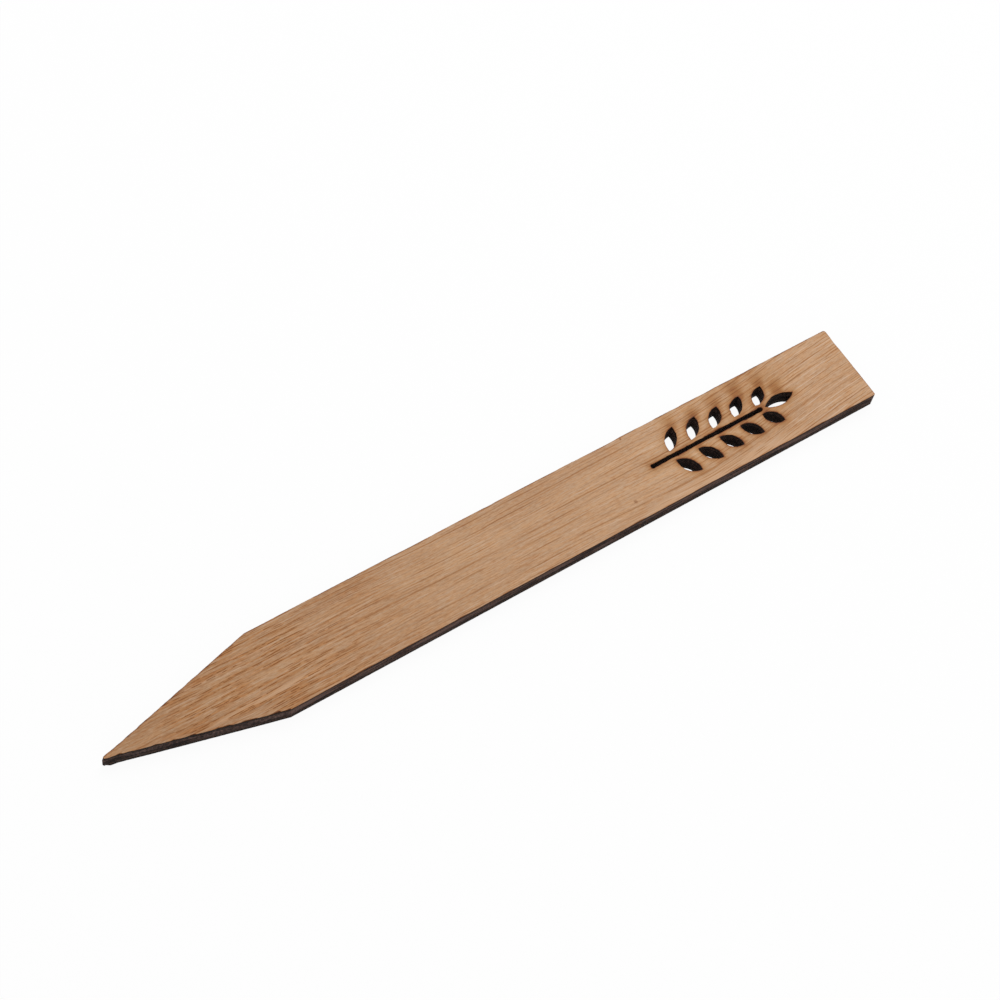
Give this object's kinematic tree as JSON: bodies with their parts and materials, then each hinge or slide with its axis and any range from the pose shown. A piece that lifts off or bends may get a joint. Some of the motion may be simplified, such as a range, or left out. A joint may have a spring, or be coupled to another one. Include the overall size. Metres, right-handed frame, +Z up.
{
  "type": "plant label stake",
  "caption": "Flat plant label stake of oak-veneered board with charred cut edges, a long point to push into soil and a leaf sprig cut through its square head.",
  "frame": {"origin": "under the middle of the stake's length and width, on the plane that its back face lies on", "axes": "+X along the stake from the point to the square head, +Y across it, +Z up out of the front face"},
  "size_m": [0.1736, 0.018, 0.004],
  "materials": {
    "oak_veneer": "sanded bare oak veneer, with laser-charred edges",
    "fibreboard": "medium-density fibreboard, charred brown-black on its laser-cut edges",
    "glue": "cured resin film, charred where it meets the cut edge"
  },
  "bodies": {
    "root": {"front_veneer": "oak_veneer", "front_glue_line": "glue", "core_board": "fibreboard", "back_glue_line": "glue", "back_veneer": "oak_veneer"}
  },
  "joints": []
}
